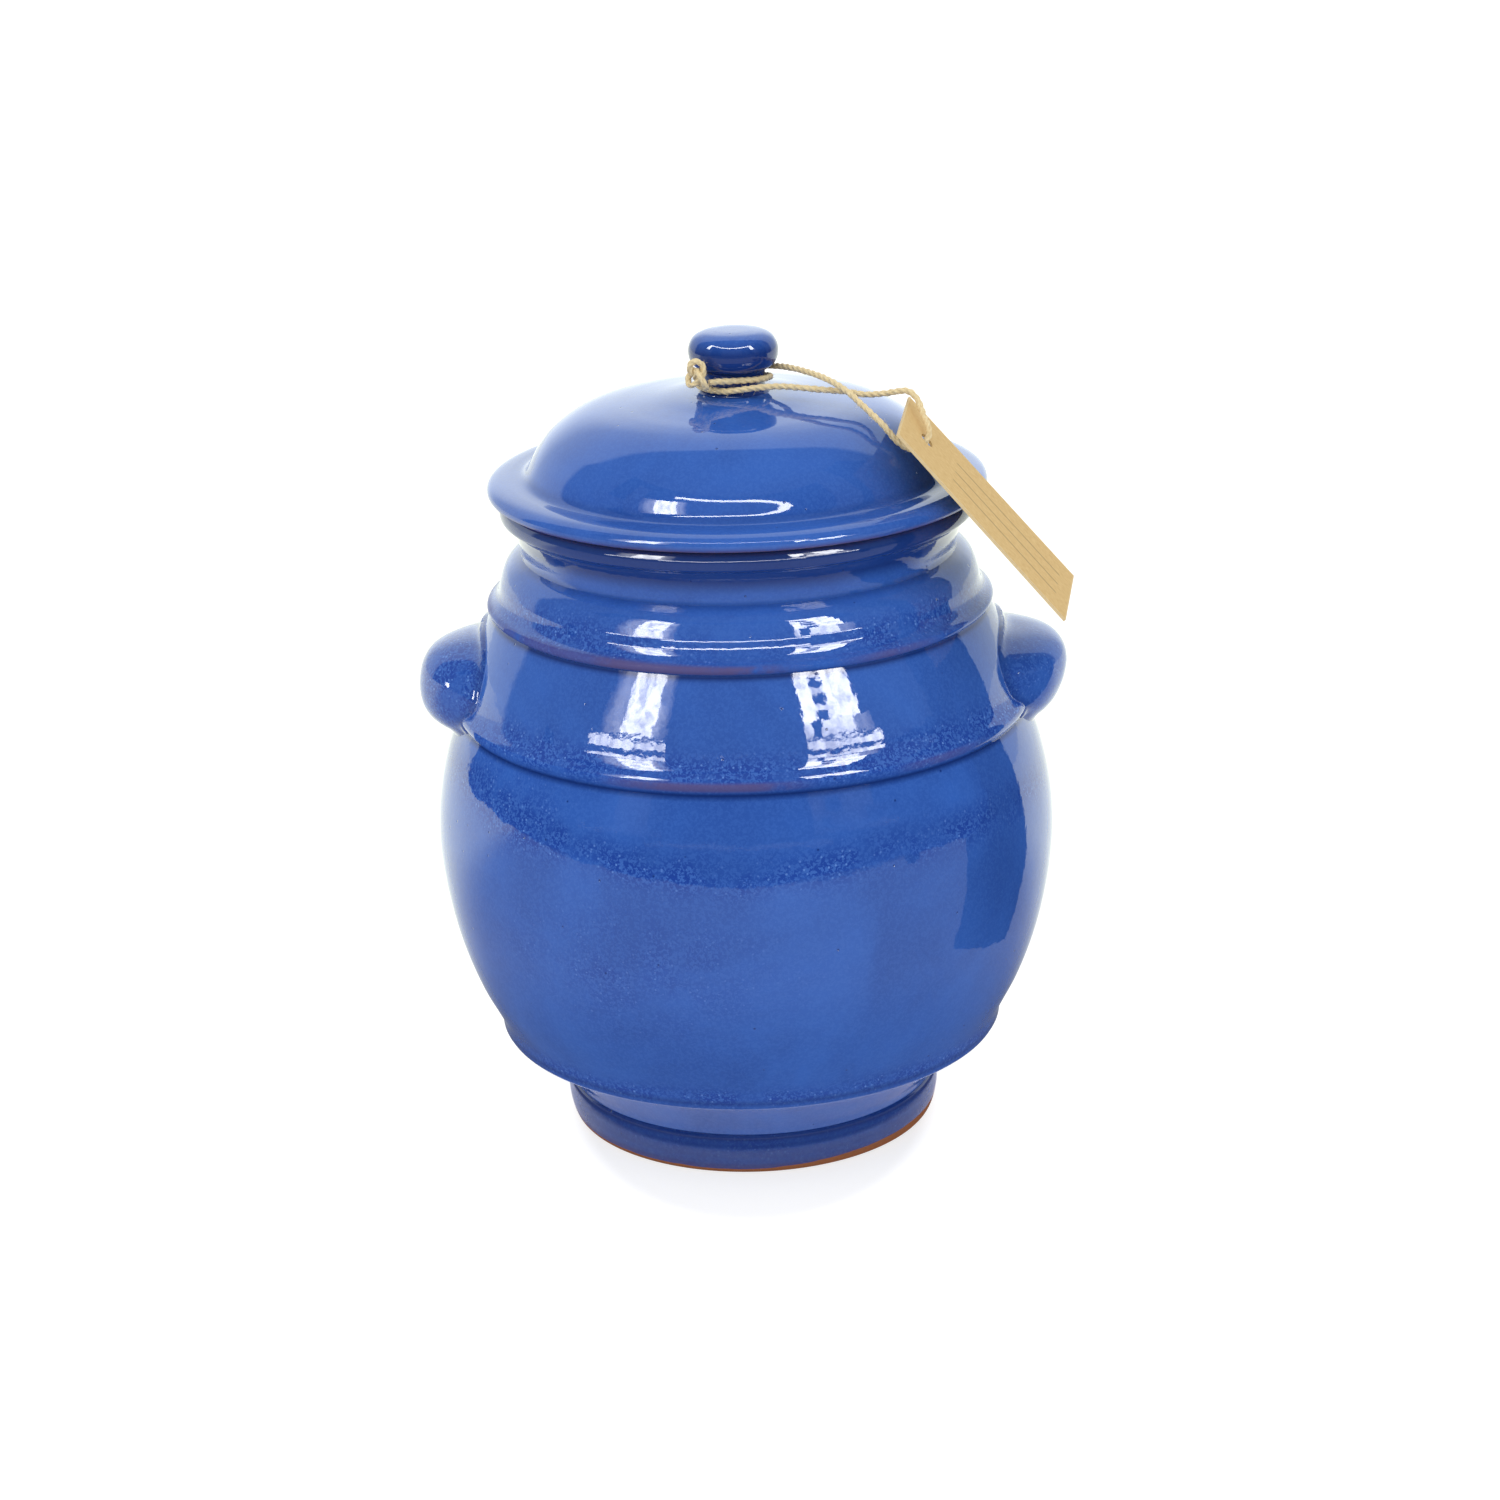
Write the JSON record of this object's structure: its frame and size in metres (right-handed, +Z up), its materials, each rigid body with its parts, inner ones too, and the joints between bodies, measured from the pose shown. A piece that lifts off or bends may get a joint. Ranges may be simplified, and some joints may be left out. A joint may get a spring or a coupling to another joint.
{
  "type": "storage jar",
  "caption": "Round-bellied glazed earthenware storage jar with ridged shoulders, ear lugs, a turned foot, a domed knob lid and a card tag on a twine loop.",
  "frame": {"origin": "centre of the foot's underside, on the surface the jar stands on", "axes": "+Z up along the pot's turning axis, +X from the left lug to the right lug, -Y the front"},
  "size_m": [0.1974, 0.1882, 0.2459],
  "materials": {
    "glaze": "high-gloss cobalt blue glaze over earthenware, breaking brown on the ridges",
    "glaze_foot": "cobalt blue glaze with a bare clay rim and underside",
    "jute": "natural two-ply jute twine, matt and hairy",
    "kraft": "plain kraft card, matt"
  },
  "bodies": {
    "jar": {"jar_body": "glaze", "foot_ring": "glaze_foot", "left_lug": "glaze", "right_lug": "glaze"},
    "lid": {"lid": "glaze", "lid_knob": "glaze"},
    "twine": {"twine_loop": "jute", "twine_knot": "jute"},
    "tag": {"hang_tag": "kraft"}
  },
  "joints": [
    {"name": "lid_lift", "type": "slide", "parent": "jar", "child": "lid", "axis": [0, 0, 1], "range_m": [0, 0.12]},
    {"name": "twine_turn", "type": "hinge", "parent": "lid", "child": "twine", "pos_m": [0, 0, 0.2312], "axis": [0, 0, 1], "continuous": true},
    {"name": "tag_flap", "type": "hinge", "parent": "twine", "child": "tag", "pos_m": [0.05458, -0.03176, 0.21858], "axis": [-0.156, -0.9839, -0.0875], "range_deg": [0, 25]}
  ]
}
